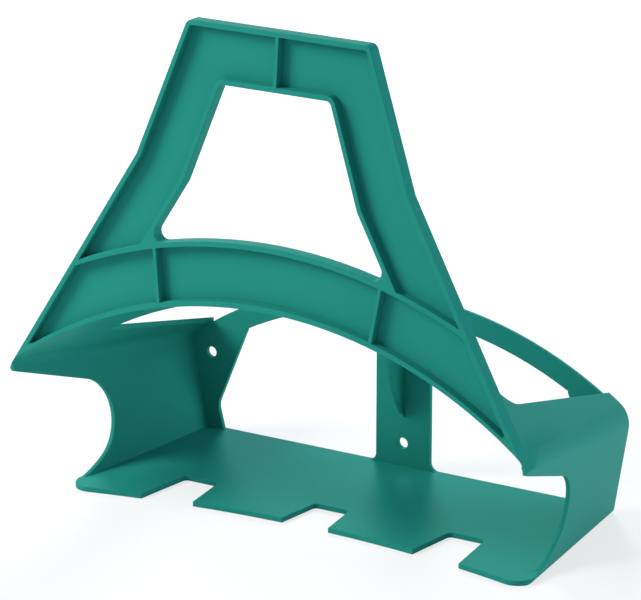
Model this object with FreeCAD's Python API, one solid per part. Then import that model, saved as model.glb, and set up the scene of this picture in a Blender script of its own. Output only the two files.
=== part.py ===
import FreeCAD, Part
import math
import os
from FreeCAD import Vector

os.makedirs("parts", exist_ok=True)

# A garden hose hanger moulded in one piece, in millimetres.
# X runs along the wall, Y points into the wall and Z is up.
# Heights are counted from the top of the shelf, depths from the wall's face.
# The finished part is lowered so that its origin lies on the wall, midway between the upper screws.

# Wall thicknesses
SHEET = 2.5
SHELF = 2.8
WALL_PLATE = 3.0

# Side walls: outer half width at the wall, flare towards the front and lean outwards
BACK_HALF = 125.7
SIDE_DRAFT = math.radians(6.1)
SIDE_LEAN = math.radians(9.1)
FOOT_R = 2.8
FOOT_INNER_R = 1.0
RIDGE_R_WALL = 14.0
RIDGE_R_FRONT = 8.0

# Saddle: a cone about an axis below the shelf, with a gap between its shoulders
ARCH_Z = -122.0
SADDLE_R = 220.6
SADDLE_RISE = math.radians(11.15)
GAP_HALF = 120.8
GAP_FRONT = 103.0
GAP_CORNER_R = 5.0

# Leaning frame: depth of its face at shelf level, then its outline from the top down
FRAME_DEPTH = 150.7
FRAME_LEAN = math.radians(5.8)
TOP_Z = 264.3
TOP_HALF = 52.6
TOP_R = 4.0
KNEE_Z = 193.3
KNEE_HALF = 78.8
TIP_Z = 73.5
TIP_HALF = 150.1
TIP_LAND_Z = 85.5
WINDOW_TOP_Z = 234.3
WINDOW_TOP_HALF = 31.8
WINDOW_TOP_R = 3.0
WINDOW_KNEE_Z = 182.5
WINDOW_KNEE_HALF = 50.5
WINDOW_FOOT_R = 4.5
BAND_TOP_R = 279.1
BAND_RIM_R = 249.2

# Rims and ribs on the frame's face
RIM_PROUD = 4.9
RIM = 2.7
RIB = 2.2
CROSS_RIB_TOP_HALF = 66.0
CROSS_RIB_FOOT_HALF = 59.0

# Wall plate: arched strip, middle post, side posts and screw holes
STRIP_R = 206.8
POST_HALF = 16.5
POST_FOOT_R = 4.5
SIDE_POST_HALF = 98.3
SIDE_POST_Z = 59.0
SIDE_POST_WAIST_Z = 13.5
SIDE_POST_WAIST_HALF = 117.0
SIDE_POST_WAIST_R = 9.0
SIDE_POST_FOOT_HALF = 113.6
SCREW_R = 3.0
SCREW_HALF = 120.8
SCREW_Z = 43.2
LOWER_SCREW_Z = 12.9

# Gusset on the middle post: a curved front edge that turns upright at the bend
GUSSET = 2.4
GUSSET_FOOT_Z = 24.0
GUSSET_DEPTH = 20.5
GUSSET_BEND_Z = 78.0

# Round bite out of the side walls, with straight edges that run up to the tip and down to the shelf
BITE_R = 23.5
BITE_DEPTH = 99.5
BITE_Z = 27.5
BITE_RISE = math.radians(19.5)
BITE_FALL = math.radians(40)

# Shelf: hollow front edge with round corners, and three notches
SHELF_FRONT = 102.6
SHELF_HOLLOW_R = 526.0
SHELF_CORNER_R = 10.0
NOTCH_PITCH = 80.4
NOTCH_DEPTH = 75.5
NOTCH_HALF = 10.3
NOTCH_FLARE = math.radians(7.2)
NOTCH_R = 2.5

# Lengths that carry a cutting tool past the face it cuts, and clear of the whole part
PAST = 6.0
CLEAR = 400.0


def rounded(points, radii):
    """Closed wire through points of a plane, each corner rounded by its radius (0 leaves it sharp)."""
    starts = []
    ends = []
    edges = []
    for i, corner in enumerate(points):
        before = (points[i - 1] - corner).normalize()
        after = (points[(i + 1) % len(points)] - corner).normalize()
        half_angle = before.getAngle(after) / 2
        run = radii[i] / math.tan(half_angle)
        starts.append(corner + before * run)
        ends.append(corner + after * run)
        if radii[i] > 0:
            sag = radii[i] / math.sin(half_angle) - radii[i]
            middle = corner + (before + after).normalize() * sag
            edges.append(Part.Arc(starts[i], middle, ends[i]).toShape())
    for i in range(len(points)):
        edges.append(Part.makeLine(ends[i], starts[(i + 1) % len(points)]))
    return Part.Wire(Part.__sortEdges__(edges))


def upright_face(points, radii=None):
    """Face in the wall's plane from (x, z) points."""
    corners = [Vector(x, 0, z) for x, z in points]
    return Part.Face(rounded(corners, radii or [0] * len(corners)))


def mirrored(points):
    """A right half, listed from the foot up, and its mirror image."""
    return points + [(-x, z) for x, z in reversed(points)]


def disc(radius):
    """Upright disc about the saddle's axis."""
    return Part.Face(Part.Wire(Part.makeCircle(radius, Vector(0, 0, ARCH_Z), Vector(0, 1, 0))))


def along_x(face):
    prism = face.extrude(Vector(2 * CLEAR, 0, 0))
    prism.translate(Vector(-CLEAR, 0, 0))
    return prism


def along_y(face):
    prism = face.extrude(Vector(0, 2 * CLEAR, 0))
    prism.translate(Vector(0, -CLEAR, 0))
    return prism


def plan_prism(wire, low, high):
    """Prism between two heights from a wire drawn at height 0."""
    prism = Part.Face(wire).extrude(Vector(0, 0, high - low))
    prism.translate(Vector(0, 0, low))
    return prism


def side_half(depth, inset=0):
    """Half width of the side walls at shelf level, moved in by inset."""
    return BACK_HALF + math.tan(SIDE_DRAFT) * depth - inset * math.hypot(1, math.tan(SIDE_LEAN))


def arch_r(depth, inset=0):
    """Radius of the saddle's cone, moved in by inset."""
    return SADDLE_R + math.tan(SADDLE_RISE) * depth - inset


def long_edges(body, length):
    """Edges that run the whole length of a body along Y, from the lowest to the highest."""
    runs = [edge for edge in body.Edges if abs(edge.Vertexes[0].Y - edge.Vertexes[-1].Y) > length - PAST]
    return sorted(runs, key=lambda edge: max(vertex.Z for vertex in edge.Vertexes))


def funnel(start, inset, floor, foot_r):
    """Solid that widens from the wall: plane floor and side walls under a cone, with rounded edges."""
    end = FRAME_DEPTH + RIM_PROUD + PAST
    rings = []
    for depth in (start, end):
        low = side_half(depth, inset) + math.tan(SIDE_LEAN) * floor
        high = side_half(depth, inset) + math.tan(SIDE_LEAN) * CLEAR
        rings.append([Vector(-low, -depth, floor), Vector(low, -depth, floor),
                      Vector(high, -depth, CLEAR), Vector(-high, -depth, CLEAR)])
    back, front = rings
    sides = [back, front] + [[back[i - 1], back[i], front[i], front[i - 1]] for i in range(4)]
    wedge = Part.Solid(Part.Shell([Part.Face(rounded(side, [0] * 4)) for side in sides]))
    cone = Part.makeCone(arch_r(start, inset), arch_r(end, inset), end - start,
                         Vector(0, -start, ARCH_Z), Vector(0, -1, 0))
    body = wedge.common(cone)
    body = body.makeFillet(foot_r, long_edges(body, end - start)[:2])
    for side in (-1, 1):
        ridge = max(long_edges(body, end - start)[-2:], key=lambda edge: side * edge.CenterOfMass.x)
        radii = [RIDGE_R_WALL - inset, RIDGE_R_FRONT - inset]
        if ridge.Vertexes[0].Y < ridge.Vertexes[-1].Y:
            radii.reverse()
        body = body.makeFillet(radii[0], radii[1], [ridge])
    return body


def leaning_slab(back, front):
    """Slab between two planes parallel to the frame's face, at distances in front of it along Y."""
    fall = math.tan(FRAME_LEAN) * CLEAR
    corners = [
        Vector(0, -FRAME_DEPTH - back - fall, -CLEAR),
        Vector(0, -FRAME_DEPTH - front - fall, -CLEAR),
        Vector(0, -FRAME_DEPTH - front + fall, CLEAR),
        Vector(0, -FRAME_DEPTH - back + fall, CLEAR),
    ]
    return along_x(Part.Face(rounded(corners, [0] * len(corners))))


# Funnel: shelf, side walls and saddle in one skin that ends flush with the frame's face
outer = funnel(0, 0, -SHELF, FOOT_R)
inner = funnel(-PAST, SHEET, 0, FOOT_INNER_R)
skin = outer.cut(inner).cut(leaning_slab(0, CLEAR))

# Wall plate: an arched strip on three posts
back_slice = Part.makeBox(2 * CLEAR, WALL_PLATE, 2 * CLEAR, Vector(-CLEAR, -WALL_PLATE, -CLEAR))
plate = outer.common(back_slice)
for side in (-1, 1):
    opening = upright_face(
        [(side * POST_HALF, 0), (side * SIDE_POST_FOOT_HALF, 0),
         (side * SIDE_POST_WAIST_HALF, SIDE_POST_WAIST_Z), (side * SIDE_POST_HALF, SIDE_POST_Z),
         (side * SIDE_POST_HALF, CLEAR), (side * POST_HALF, CLEAR)],
        [POST_FOOT_R, 0, SIDE_POST_WAIST_R, 0, 0, 0])
    plate = plate.cut(along_y(opening.common(disc(STRIP_R))))

# Frame: a plate with a window whose sides follow the legs, cut off below along the skin's inner face
leg_slope = (TIP_HALF - KNEE_HALF) / (KNEE_Z - TIP_Z)
outline = upright_face(
    mirrored([(TIP_HALF - SHEET, TIP_Z - 2 * SHEET), (TIP_HALF, TIP_Z),
              (KNEE_HALF, KNEE_Z), (TOP_HALF, TOP_Z)]),
    [0, 0, 0, TOP_R, TOP_R, 0, 0, 0])
window_sides = upright_face(
    mirrored([(WINDOW_KNEE_HALF + leg_slope * (WINDOW_KNEE_Z - TIP_Z), TIP_Z),
              (WINDOW_KNEE_HALF, WINDOW_KNEE_Z), (WINDOW_TOP_HALF, WINDOW_TOP_Z)]),
    [0, 0, WINDOW_TOP_R, WINDOW_TOP_R, 0, 0])
window = along_y(window_sides.cut(disc(BAND_TOP_R)).Faces[0])
window_corners = [edge for edge in window.Edges if abs(edge.Vertexes[0].Y - edge.Vertexes[-1].Y) > CLEAR]
window_corners.sort(key=lambda edge: edge.Vertexes[0].Z)
window = window.makeFillet(WINDOW_FOOT_R, window_corners[:2])
frame = along_y(outline).common(leaning_slab(-SHEET, 0))

# Raised rims round the outline, the window and the band, with ribs between them and solid lands at the tips
rib_top = ARCH_Z + BAND_TOP_R * math.cos(math.asin(CROSS_RIB_TOP_HALF / BAND_TOP_R)) - RIM / 2
rib_foot = ARCH_Z + SADDLE_R
raised = [
    outline.cut(outline.makeOffset2D(-RIM, 2)),
    outline.common(upright_face(mirrored([(CLEAR, -CLEAR), (CLEAR, TIP_LAND_Z)]))),
    window_sides.makeOffset2D(RIM, 0).cut(disc(BAND_TOP_R - RIM)),
    disc(BAND_TOP_R).cut(disc(BAND_TOP_R - RIM)).common(outline),
    disc(BAND_RIM_R).common(outline),
    upright_face(mirrored([(RIB / 2, WINDOW_TOP_Z), (RIB / 2, TOP_Z - RIM / 2)])),
]
for side in (-1, 1):
    raised.append(upright_face(
        [(side * CROSS_RIB_FOOT_HALF - RIB / 2, rib_foot), (side * CROSS_RIB_FOOT_HALF + RIB / 2, rib_foot),
         (side * CROSS_RIB_TOP_HALF + RIB / 2, rib_top), (side * CROSS_RIB_TOP_HALF - RIB / 2, rib_top)]))
rim_slab = leaning_slab(-SHEET, RIM_PROUD)
for form in raised:
    for face in form.Faces:
        frame = frame.fuse(along_y(face).common(rim_slab))
frame = frame.cut(window).cut(inner)

# Gusset on the middle post, up to the strip's top edge
strip_top = ARCH_Z + SADDLE_R - SHEET
climb = GUSSET_BEND_Z - GUSSET_FOOT_Z
gusset_r = (GUSSET_DEPTH ** 2 + climb ** 2) / (2 * GUSSET_DEPTH)
half_turn = math.asin(climb / gusset_r) / 2
gusset_foot = Vector(-GUSSET / 2, 0, GUSSET_FOOT_Z)
gusset_middle = Vector(-GUSSET / 2, gusset_r * (1 - math.cos(half_turn)) - GUSSET_DEPTH,
                       GUSSET_BEND_Z - gusset_r * math.sin(half_turn))
gusset_bend = Vector(-GUSSET / 2, -GUSSET_DEPTH, GUSSET_BEND_Z)
gusset_front = Vector(-GUSSET / 2, -GUSSET_DEPTH, strip_top)
gusset_back = Vector(-GUSSET / 2, 0, strip_top)
gusset = Part.Face(Part.Wire([
    Part.Arc(gusset_foot, gusset_middle, gusset_bend).toShape(),
    Part.makeLine(gusset_bend, gusset_front),
    Part.makeLine(gusset_front, gusset_back),
    Part.makeLine(gusset_back, gusset_foot),
])).extrude(Vector(GUSSET, 0, 0))

hanger = skin.fuse([plate, frame, gusset])

# Gap in the saddle between the shoulders, open to the wall
gap = plan_prism(rounded(
    [Vector(-GAP_HALF, CLEAR, 0), Vector(-GAP_HALF, -GAP_FRONT, 0),
     Vector(GAP_HALF, -GAP_FRONT, 0), Vector(GAP_HALF, CLEAR, 0)],
    [0, GAP_CORNER_R, GAP_CORNER_R, 0]), SCREW_Z, CLEAR)
hanger = hanger.cut(gap.cut(inner))

# Front ends of the side walls, trimmed along the legs' lines
trim_z = TIP_Z - PAST
for side in (-1, 1):
    beyond = upright_face([(side * (TIP_HALF + leg_slope * PAST), trim_z), (side * KNEE_HALF, KNEE_Z),
                           (side * CLEAR, KNEE_Z), (side * CLEAR, trim_z)])
    hanger = hanger.cut(along_y(beyond))

# Bite out of the front of both side walls
bite_centre = Vector(0, -BITE_DEPTH, BITE_Z)
bite_low = bite_centre + Vector(0, math.sin(BITE_FALL), -math.cos(BITE_FALL)) * BITE_R
bite_back = bite_centre + Vector(0, BITE_R, 0)
bite_top = bite_centre + Vector(0, math.sin(BITE_RISE), math.cos(BITE_RISE)) * BITE_R
bite_tip = bite_top + Vector(0, -math.cos(BITE_RISE), math.sin(BITE_RISE)) * CLEAR
bite_foot = Vector(0, bite_low.y - bite_low.z / math.tan(BITE_FALL), 0)
bite_front = Vector(0, bite_tip.y, 0)
hanger = hanger.cut(along_x(Part.Face(Part.Wire([
    Part.makeLine(bite_foot, bite_low),
    Part.Arc(bite_low, bite_back, bite_top).toShape(),
    Part.makeLine(bite_top, bite_tip),
    Part.makeLine(bite_tip, bite_front),
    Part.makeLine(bite_front, bite_foot),
]))))

# Shelf's footprint: hollow front edge, round corners and notches
hollow_depth = SHELF_FRONT + SHELF_HOLLOW_R
slope = math.tan(SIDE_DRAFT)
reach = BACK_HALF + slope * hollow_depth
run = (math.sqrt(SHELF_HOLLOW_R ** 2 * (1 + slope ** 2) - reach ** 2) + slope * reach) / (1 + slope ** 2)
corner_depth = hollow_depth - run
footprint = plan_prism(Part.Wire([
    Part.makeLine(Vector(-BACK_HALF, 0, 0), Vector(BACK_HALF, 0, 0)),
    Part.makeLine(Vector(BACK_HALF, 0, 0), Vector(side_half(corner_depth), -corner_depth, 0)),
    Part.Arc(Vector(side_half(corner_depth), -corner_depth, 0), Vector(0, -SHELF_FRONT, 0),
             Vector(-side_half(corner_depth), -corner_depth, 0)).toShape(),
    Part.makeLine(Vector(-side_half(corner_depth), -corner_depth, 0), Vector(-BACK_HALF, 0, 0)),
]), -SHELF - PAST, SHELF)
shelf_corners = [edge for edge in footprint.Edges if abs(edge.Vertexes[0].Z - edge.Vertexes[-1].Z) > SHELF]
shelf_corners.sort(key=lambda edge: edge.Vertexes[0].Y)
footprint = footprint.makeFillet(SHELF_CORNER_R, shelf_corners[:2])
notch_front = NOTCH_HALF + math.tan(NOTCH_FLARE) * (CLEAR - NOTCH_DEPTH)
for place in (-1, 0, 1):
    x = place * NOTCH_PITCH
    notch = rounded(
        [Vector(x - notch_front, -CLEAR, 0), Vector(x - NOTCH_HALF, -NOTCH_DEPTH, 0),
         Vector(x + NOTCH_HALF, -NOTCH_DEPTH, 0), Vector(x + notch_front, -CLEAR, 0)],
        [0, NOTCH_R, NOTCH_R, 0])
    footprint = footprint.cut(plan_prism(notch, -SHELF - PAST, SHELF))
front_zone = Part.makeBox(2 * CLEAR, CLEAR, SHELF + PAST,
                          Vector(-CLEAR, -NOTCH_DEPTH + NOTCH_R - CLEAR, -SHELF - PAST))
hanger = hanger.cut(front_zone.cut(footprint))

# Screw holes
for x, z in ((-SCREW_HALF, SCREW_Z), (SCREW_HALF, SCREW_Z), (0, LOWER_SCREW_Z)):
    hole_start = Vector(x, -WALL_PLATE - PAST, z)
    hole = Part.makeCylinder(SCREW_R, WALL_PLATE + 2 * PAST, hole_start, Vector(0, 1, 0))
    hanger = hanger.cut(hole)

hanger = hanger.removeSplitter()
hanger.translate(Vector(0, 0, -SCREW_Z))
hanger.exportStep("parts/hose_hanger.step")
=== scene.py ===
import math

import bmesh
import bpy
from mathutils import Matrix, Vector


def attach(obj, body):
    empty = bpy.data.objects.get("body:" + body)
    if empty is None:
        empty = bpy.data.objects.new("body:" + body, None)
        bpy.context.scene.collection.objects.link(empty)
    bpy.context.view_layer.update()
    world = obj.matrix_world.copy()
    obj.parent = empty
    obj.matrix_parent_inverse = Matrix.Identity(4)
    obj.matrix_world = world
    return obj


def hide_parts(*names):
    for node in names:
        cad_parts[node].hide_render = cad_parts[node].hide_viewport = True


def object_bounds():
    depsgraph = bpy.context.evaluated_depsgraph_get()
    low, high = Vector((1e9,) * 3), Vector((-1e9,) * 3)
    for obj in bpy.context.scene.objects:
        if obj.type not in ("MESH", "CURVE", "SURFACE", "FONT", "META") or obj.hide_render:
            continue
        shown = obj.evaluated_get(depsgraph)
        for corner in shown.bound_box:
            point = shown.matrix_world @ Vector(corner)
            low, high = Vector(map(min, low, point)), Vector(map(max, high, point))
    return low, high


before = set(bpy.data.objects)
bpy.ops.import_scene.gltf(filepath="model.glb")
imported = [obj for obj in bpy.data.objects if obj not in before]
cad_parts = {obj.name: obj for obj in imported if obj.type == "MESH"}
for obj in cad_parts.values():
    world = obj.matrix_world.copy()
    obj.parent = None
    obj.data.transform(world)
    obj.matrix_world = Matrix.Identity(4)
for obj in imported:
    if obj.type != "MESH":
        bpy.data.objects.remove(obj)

cad_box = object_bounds()

# A hose hanger for a wall, moulded in one piece from green polypropylene, on a plain white floor.
# Lengths are in millimetres and become metres through mm(). The frame's axes: X along the wall,
# Y into the wall, Z up, with the origin on the wall midway between the upper screws.
MOULDING = "hose_hanger"

# Small radius that the mould leaves along the outer edges. Edges beside slivers, which are faces narrower
# than SLIVER, stay sharp, and so do those within TIP_CLEAR of the widest points, where the frame thins out.
EDGE_R = 0.4
EDGE_STEPS = 2
EDGE_PROFILE = 0.5
EDGE_ANGLE = math.radians(35)
SLIVER = 0.1
TIP_CLEAR = 6.0

# Mesh of the moulding: points closer than WELD are joined before the radii are made and closer than MERGE
# after that, faces within FLAT_ANGLE of each other are one, and edges under SMOOTH_ANGLE are shaded round
WELD = 0.02
MERGE = 0.001
FLAT_ANGLE = math.radians(0.5)
SMOOTH_ANGLE = math.radians(30)

# Tip at each lower end of the leaning frame: the front end of the side wall comes up to the frame's front
# at its top, and covers TIP_SHARE of that way at its lower edge
FRAME_LEAN = math.radians(5.8)
TIP_SHARE = 0.45

# Foot of each side wall's front edge: a slope down to the shelf, larger than FOOT_AREA square millimetres,
# that is drawn forward along the splayed wall in a curve
FOOT_FALL = math.radians(40)
FOOT_AREA = 25.0
FOOT_REACH = 9.5
FOOT_STEPS = 8
WALL_SPLAY = math.radians(6.1)

# Plastic: two near greens that the melt's flow mixes, and a fine grain from the tool. The surface shows next
# to no reflections, so its specular level is far below the usual 0.5.
GREEN_DEEP = "#228477"
GREEN_PALE = "#268B7E"
FLOW_SIZE = 60.0
FLOW_DETAIL = 3.0
FLOW_BREAKUP = 0.55
GRAIN_SIZE = 0.45
GRAIN_DETAIL = 2.0
GRAIN_DEPTH = 0.02
GRAIN_STRENGTH = 0.12
ROUGHNESS_LEAST = 0.3
ROUGHNESS_MOST = 0.38
PLASTIC_IOR = 1.49
PLASTIC_SPECULAR = 0.014

# Camera: the direction it looks from, the point in the middle of its picture, and its lens
CAMERA_AZIMUTH = math.radians(31.25)
CAMERA_ELEVATION = math.radians(17.66)
CAMERA_ROLL = math.radians(0.09)
CAMERA_AIM = (-52.6, -0.8, 40.5)
CAMERA_DISTANCE = 2131.0
CAMERA_SENSOR = 36.0
CAMERA_LENS = 223.8

# Light: a large soft key from the front left, a light from the back left, a broad low one from the right, and
# an even, slightly cool room. A lamp that isn't mirrored doesn't show in the plastic's reflections.
LAMPS = {
    "key": {"azimuth": -52, "elevation": 36, "distance": 1800.0, "size": 900.0, "watts": 29.5,
            "colour": "#FFFAF0", "mirrored": True},
    "back": {"azimuth": -149, "elevation": 26, "distance": 1600.0, "size": 500.0, "watts": 23.0,
             "colour": "#FFFFFF", "mirrored": False},
    "right": {"azimuth": 118, "elevation": 8, "distance": 1600.0, "size": 1200.0, "watts": 15.0,
              "colour": "#FFFFFF", "mirrored": False},
}
ROOM_COLOUR = "#CBE7FF"
ROOM_STRENGTH = 0.45

# White of the background where it is seen, and the floor: its paper, and how much of its shadow shows
WHITE = "#FFFFFF"
WHITE_STRENGTH = 1.0
FLOOR_COLOUR = "#F2F2F2"
FLOOR_SIZE = 12000.0
FLOOR_SHADOW = 0.3


def mm(length):
    return length / 1000


def linear(hex_colour):
    """sRGB hex to the linear colour that the shaders take."""
    channels = [int(hex_colour[i:i + 2], 16) / 255 for i in (1, 3, 5)]
    steps = [c / 12.92 if c <= 0.04045 else ((c + 0.055) / 1.055) ** 2.4 for c in channels]
    return (*steps, 1.0)


def add_node(tree, kind, settings=None, links=None):
    """Adds a node. Settings name its properties or inputs, links name the inputs that other sockets feed."""
    node = tree.nodes.new(kind)
    for name, value in (settings or {}).items():
        if name in node.inputs:
            node.inputs[name].default_value = value
        else:
            setattr(node, name, value)
    for name, source in (links or {}).items():
        tree.links.new(source, node.inputs[name])
    return node


def new_material(name):
    material = bpy.data.materials.new(name)
    material.use_nodes = True
    material.node_tree.nodes.clear()
    return material, material.node_tree


def moulded_polypropylene():
    """Polypropylene, injection moulded in a spark-eroded tool.

    The pigment runs through the material, so the colour is even, with only faint clouds from the melt's flow.
    The tool's fine grain leaves the surface matt to satin, with no sharp highlight. It is drawn coarser than
    the real grain, so that it shows in a close look.
    """
    material, tree = new_material("moulded_polypropylene")
    place = add_node(tree, "ShaderNodeTexCoord").outputs["Object"]
    flow = add_node(tree, "ShaderNodeTexNoise",
                    {"Scale": 1 / mm(FLOW_SIZE), "Detail": FLOW_DETAIL, "Roughness": FLOW_BREAKUP},
                    {"Vector": place})
    colour = add_node(tree, "ShaderNodeMix", {"data_type": "RGBA"}, {"Factor": flow.outputs["Fac"]})
    colour.inputs["A"].default_value = linear(GREEN_DEEP)
    colour.inputs["B"].default_value = linear(GREEN_PALE)
    roughness = add_node(tree, "ShaderNodeMapRange", {"To Min": ROUGHNESS_LEAST, "To Max": ROUGHNESS_MOST},
                         {"Value": flow.outputs["Fac"]})
    grain = add_node(tree, "ShaderNodeTexNoise", {"Scale": 1 / mm(GRAIN_SIZE), "Detail": GRAIN_DETAIL},
                     {"Vector": place})
    bump = add_node(tree, "ShaderNodeBump", {"Strength": GRAIN_STRENGTH, "Distance": mm(GRAIN_DEPTH)},
                    {"Height": grain.outputs["Fac"]})
    shader = add_node(tree, "ShaderNodeBsdfPrincipled",
                      {"IOR": PLASTIC_IOR, "Specular IOR Level": PLASTIC_SPECULAR},
                      {"Base Color": colour.outputs["Result"], "Roughness": roughness.outputs["Result"],
                       "Normal": bump.outputs["Normal"]})
    add_node(tree, "ShaderNodeOutputMaterial", links={"Surface": shader.outputs["BSDF"]})
    return material


def seen_directly(tree):
    """1 for rays that look at the background straight, in a reflection or through something, else 0."""
    path = add_node(tree, "ShaderNodeLightPath")
    mirror = add_node(tree, "ShaderNodeMath", {"operation": "MAXIMUM"})
    tree.links.new(path.outputs["Is Camera Ray"], mirror.inputs[0])
    tree.links.new(path.outputs["Is Glossy Ray"], mirror.inputs[1])
    seen = add_node(tree, "ShaderNodeMath", {"operation": "MAXIMUM"})
    tree.links.new(mirror.outputs["Value"], seen.inputs[0])
    tree.links.new(path.outputs["Is Transmission Ray"], seen.inputs[1])
    return seen.outputs["Value"]


def matt_white_floor():
    """Matt white paper: white to the eye, with a pale soft shadow under the object."""
    material, tree = new_material("matt_white_floor")
    paper = add_node(tree, "ShaderNodeBsdfDiffuse", {"Color": linear(FLOOR_COLOUR)})
    glow = add_node(tree, "ShaderNodeEmission", {"Strength": WHITE_STRENGTH})
    share = add_node(tree, "ShaderNodeMath", {"operation": "MULTIPLY"})
    tree.links.new(seen_directly(tree), share.inputs[0])
    share.inputs[1].default_value = 1 - FLOOR_SHADOW
    mixed = add_node(tree, "ShaderNodeMixShader")
    tree.links.new(share.outputs["Value"], mixed.inputs[0])
    tree.links.new(paper.outputs["BSDF"], mixed.inputs[1])
    tree.links.new(glow.outputs["Emission"], mixed.inputs[2])
    add_node(tree, "ShaderNodeOutputMaterial", links={"Surface": mixed.outputs["Shader"]})
    return material


def tip_start(form):
    """Distance from the middle plane at which the frame's thin lower tips start."""
    return max(abs(vert.co.x) for vert in form.verts) - mm(TIP_CLEAR)


def close_tips(form):
    """Draws each wall's front end forward to the frame's front, so that the two end in one blunt tip."""
    start = tip_start(form)
    front = Vector((0, -math.cos(FRAME_LEAN), math.sin(FRAME_LEAN)))
    fronts = [face for face in form.faces if face.normal.angle(front, math.pi) < FLAT_ANGLE]
    depth = max(face.calc_center_median().dot(front) for face in fronts)
    for end in [face for face in fronts if all(abs(vert.co.x) > start for vert in face.verts)]:
        low = min(vert.co.z for vert in end.verts)
        high = max(vert.co.z for vert in end.verts)
        for vert in end.verts:
            share = TIP_SHARE + (1 - TIP_SHARE) * (vert.co.z - low) / (high - low)
            vert.co.y -= share * (depth - vert.co.dot(front)) / math.cos(FRAME_LEAN)
    bmesh.ops.remove_doubles(form, verts=form.verts, dist=mm(WELD))
    form.normal_update()


def flare_feet(form):
    """Draws each wall's foot forward in a curve, almost to where the shelf's corner starts to round."""
    fall = Vector((0, -math.sin(FOOT_FALL), math.cos(FOOT_FALL)))
    sloping = [face for face in form.faces if face.normal.angle(fall, math.pi) < FLAT_ANGLE]
    for slope in [face for face in sloping if face.calc_area() > FOOT_AREA * mm(1) ** 2]:
        low = min(vert.co.z for vert in slope.verts)
        high = max(vert.co.z for vert in slope.verts)
        strips = [slope, *slope.edges, *slope.verts]
        for step in range(1, FOOT_STEPS):
            level = (0, 0, low + (high - low) * step / FOOT_STEPS)
            strips = bmesh.ops.bisect_plane(form, geom=strips, plane_co=level, plane_no=(0, 0, 1))["geom"]
        for vert in [item for item in strips if isinstance(item, bmesh.types.BMVert)]:
            advance = mm(FOOT_REACH) * ((high - vert.co.z) / (high - low)) ** 2
            vert.co.y -= advance
            vert.co.x += math.copysign(advance * math.tan(WALL_SPLAY), vert.co.x)
    form.normal_update()


def outer_edges(form):
    """The edges that take the small radius."""
    start = tip_start(form)
    thin = {face for face in form.faces if 2 * face.calc_area() < mm(SLIVER) * face.calc_perimeter()}
    sharp = [edge for edge in form.edges if edge.is_convex and edge.calc_face_angle() > EDGE_ANGLE]
    return [edge for edge in sharp
            if all(abs(vert.co.x) < start and thin.isdisjoint(vert.link_faces) for vert in edge.verts)]


def set_moulding():
    """The moulding, with its tips and feet drawn forward and the small radii of its mould."""
    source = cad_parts[MOULDING]
    form = bmesh.new()
    form.from_mesh(source.data)
    bmesh.ops.remove_doubles(form, verts=form.verts, dist=mm(WELD))
    bmesh.ops.dissolve_limit(form, angle_limit=FLAT_ANGLE, verts=form.verts, edges=form.edges)
    close_tips(form)
    flare_feet(form)
    bmesh.ops.bevel(form, geom=outer_edges(form), offset=mm(EDGE_R), offset_type="OFFSET",
                    segments=EDGE_STEPS, profile=EDGE_PROFILE, affect="EDGES", clamp_overlap=False)
    bmesh.ops.dissolve_degenerate(form, dist=mm(MERGE), edges=form.edges)
    mesh = bpy.data.meshes.new(MOULDING + "_moulding")
    form.to_mesh(mesh)
    form.free()
    mesh.shade_smooth()
    mesh.set_sharp_from_angle(angle=SMOOTH_ANGLE)
    mesh.materials.append(moulded_polypropylene())
    piece = bpy.data.objects.new(MOULDING + "_moulding", mesh)
    bpy.context.scene.collection.objects.link(piece)
    evened = piece.modifiers.new("flat_faces_shade_flat", "WEIGHTED_NORMAL")
    evened.mode = "FACE_AREA"
    evened.keep_sharp = True
    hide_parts(MOULDING)
    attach(piece, "root")


def set_floor():
    """A wide floor at the height of the part's lowest point."""
    level = cad_box[0][2]
    half = mm(FLOOR_SIZE) / 2
    corners = [(-half, -half, level), (half, -half, level), (half, half, level), (-half, half, level)]
    mesh = bpy.data.meshes.new("floor")
    mesh.from_pydata(corners, [], [(0, 1, 2, 3)])
    mesh.materials.append(matt_white_floor())
    floor = bpy.data.objects.new("floor", mesh)
    bpy.context.scene.collection.objects.link(floor)


def direction(azimuth, elevation):
    """Unit vector from the object towards a lamp or camera; azimuth 0 is straight in front."""
    return Vector((math.sin(azimuth) * math.cos(elevation), -math.cos(azimuth) * math.cos(elevation),
                   math.sin(elevation)))


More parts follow.
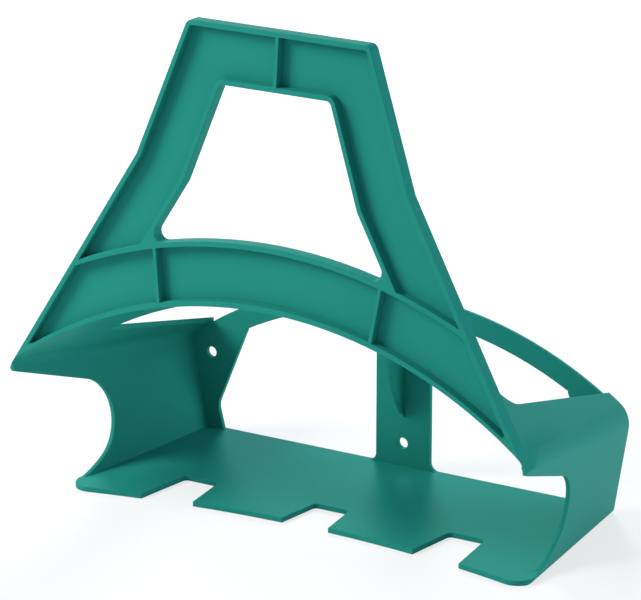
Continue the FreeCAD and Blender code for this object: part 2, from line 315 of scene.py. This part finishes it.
def facing(towards, roll=0):
    """Rotation that turns a lamp's or camera's back towards a direction."""
    return towards.to_track_quat("Z", "Y").to_matrix() @ Matrix.Rotation(roll, 3, "Z")


def set_camera():
    towards = direction(CAMERA_AZIMUTH, CAMERA_ELEVATION)
    data = bpy.data.cameras.new("camera")
    data.sensor_width = CAMERA_SENSOR
    data.lens = CAMERA_LENS
    camera = bpy.data.objects.new("camera", data)
    aim = Vector([mm(length) for length in CAMERA_AIM])
    place = Matrix.Translation(aim + towards * mm(CAMERA_DISTANCE))
    camera.matrix_world = place @ facing(towards, CAMERA_ROLL).to_4x4()
    bpy.context.scene.collection.objects.link(camera)
    bpy.context.scene.camera = camera


def set_lamp(name, values):
    towards = direction(math.radians(values["azimuth"]), math.radians(values["elevation"]))
    data = bpy.data.lights.new(name, "AREA")
    data.shape = "DISK"
    data.size = mm(values["size"])
    data.energy = values["watts"]
    data.color = linear(values["colour"])[:3]
    lamp = bpy.data.objects.new(name, data)
    lamp.matrix_world = Matrix.Translation(towards * mm(values["distance"])) @ facing(towards).to_4x4()
    lamp.visible_glossy = values["mirrored"]
    bpy.context.scene.collection.objects.link(lamp)


def set_room():
    """Even, slightly cool light on the object from all round, and plain white where the room is seen."""
    world = bpy.data.worlds.new("room")
    world.use_nodes = True
    tree = world.node_tree
    tree.nodes.clear()
    light = add_node(tree, "ShaderNodeBackground",
                     {"Color": linear(ROOM_COLOUR), "Strength": ROOM_STRENGTH})
    seen = add_node(tree, "ShaderNodeBackground", {"Color": linear(WHITE), "Strength": WHITE_STRENGTH})
    mixed = add_node(tree, "ShaderNodeMixShader")
    tree.links.new(seen_directly(tree), mixed.inputs[0])
    tree.links.new(light.outputs["Background"], mixed.inputs[1])
    tree.links.new(seen.outputs["Background"], mixed.inputs[2])
    add_node(tree, "ShaderNodeOutputWorld", links={"Surface": mixed.outputs["Shader"]})
    bpy.context.scene.world = world


set_moulding()
set_floor()
set_camera()
for lamp_name, lamp_values in LAMPS.items():
    set_lamp(lamp_name, lamp_values)
set_room()
bpy.context.scene.view_settings.view_transform = "Standard"
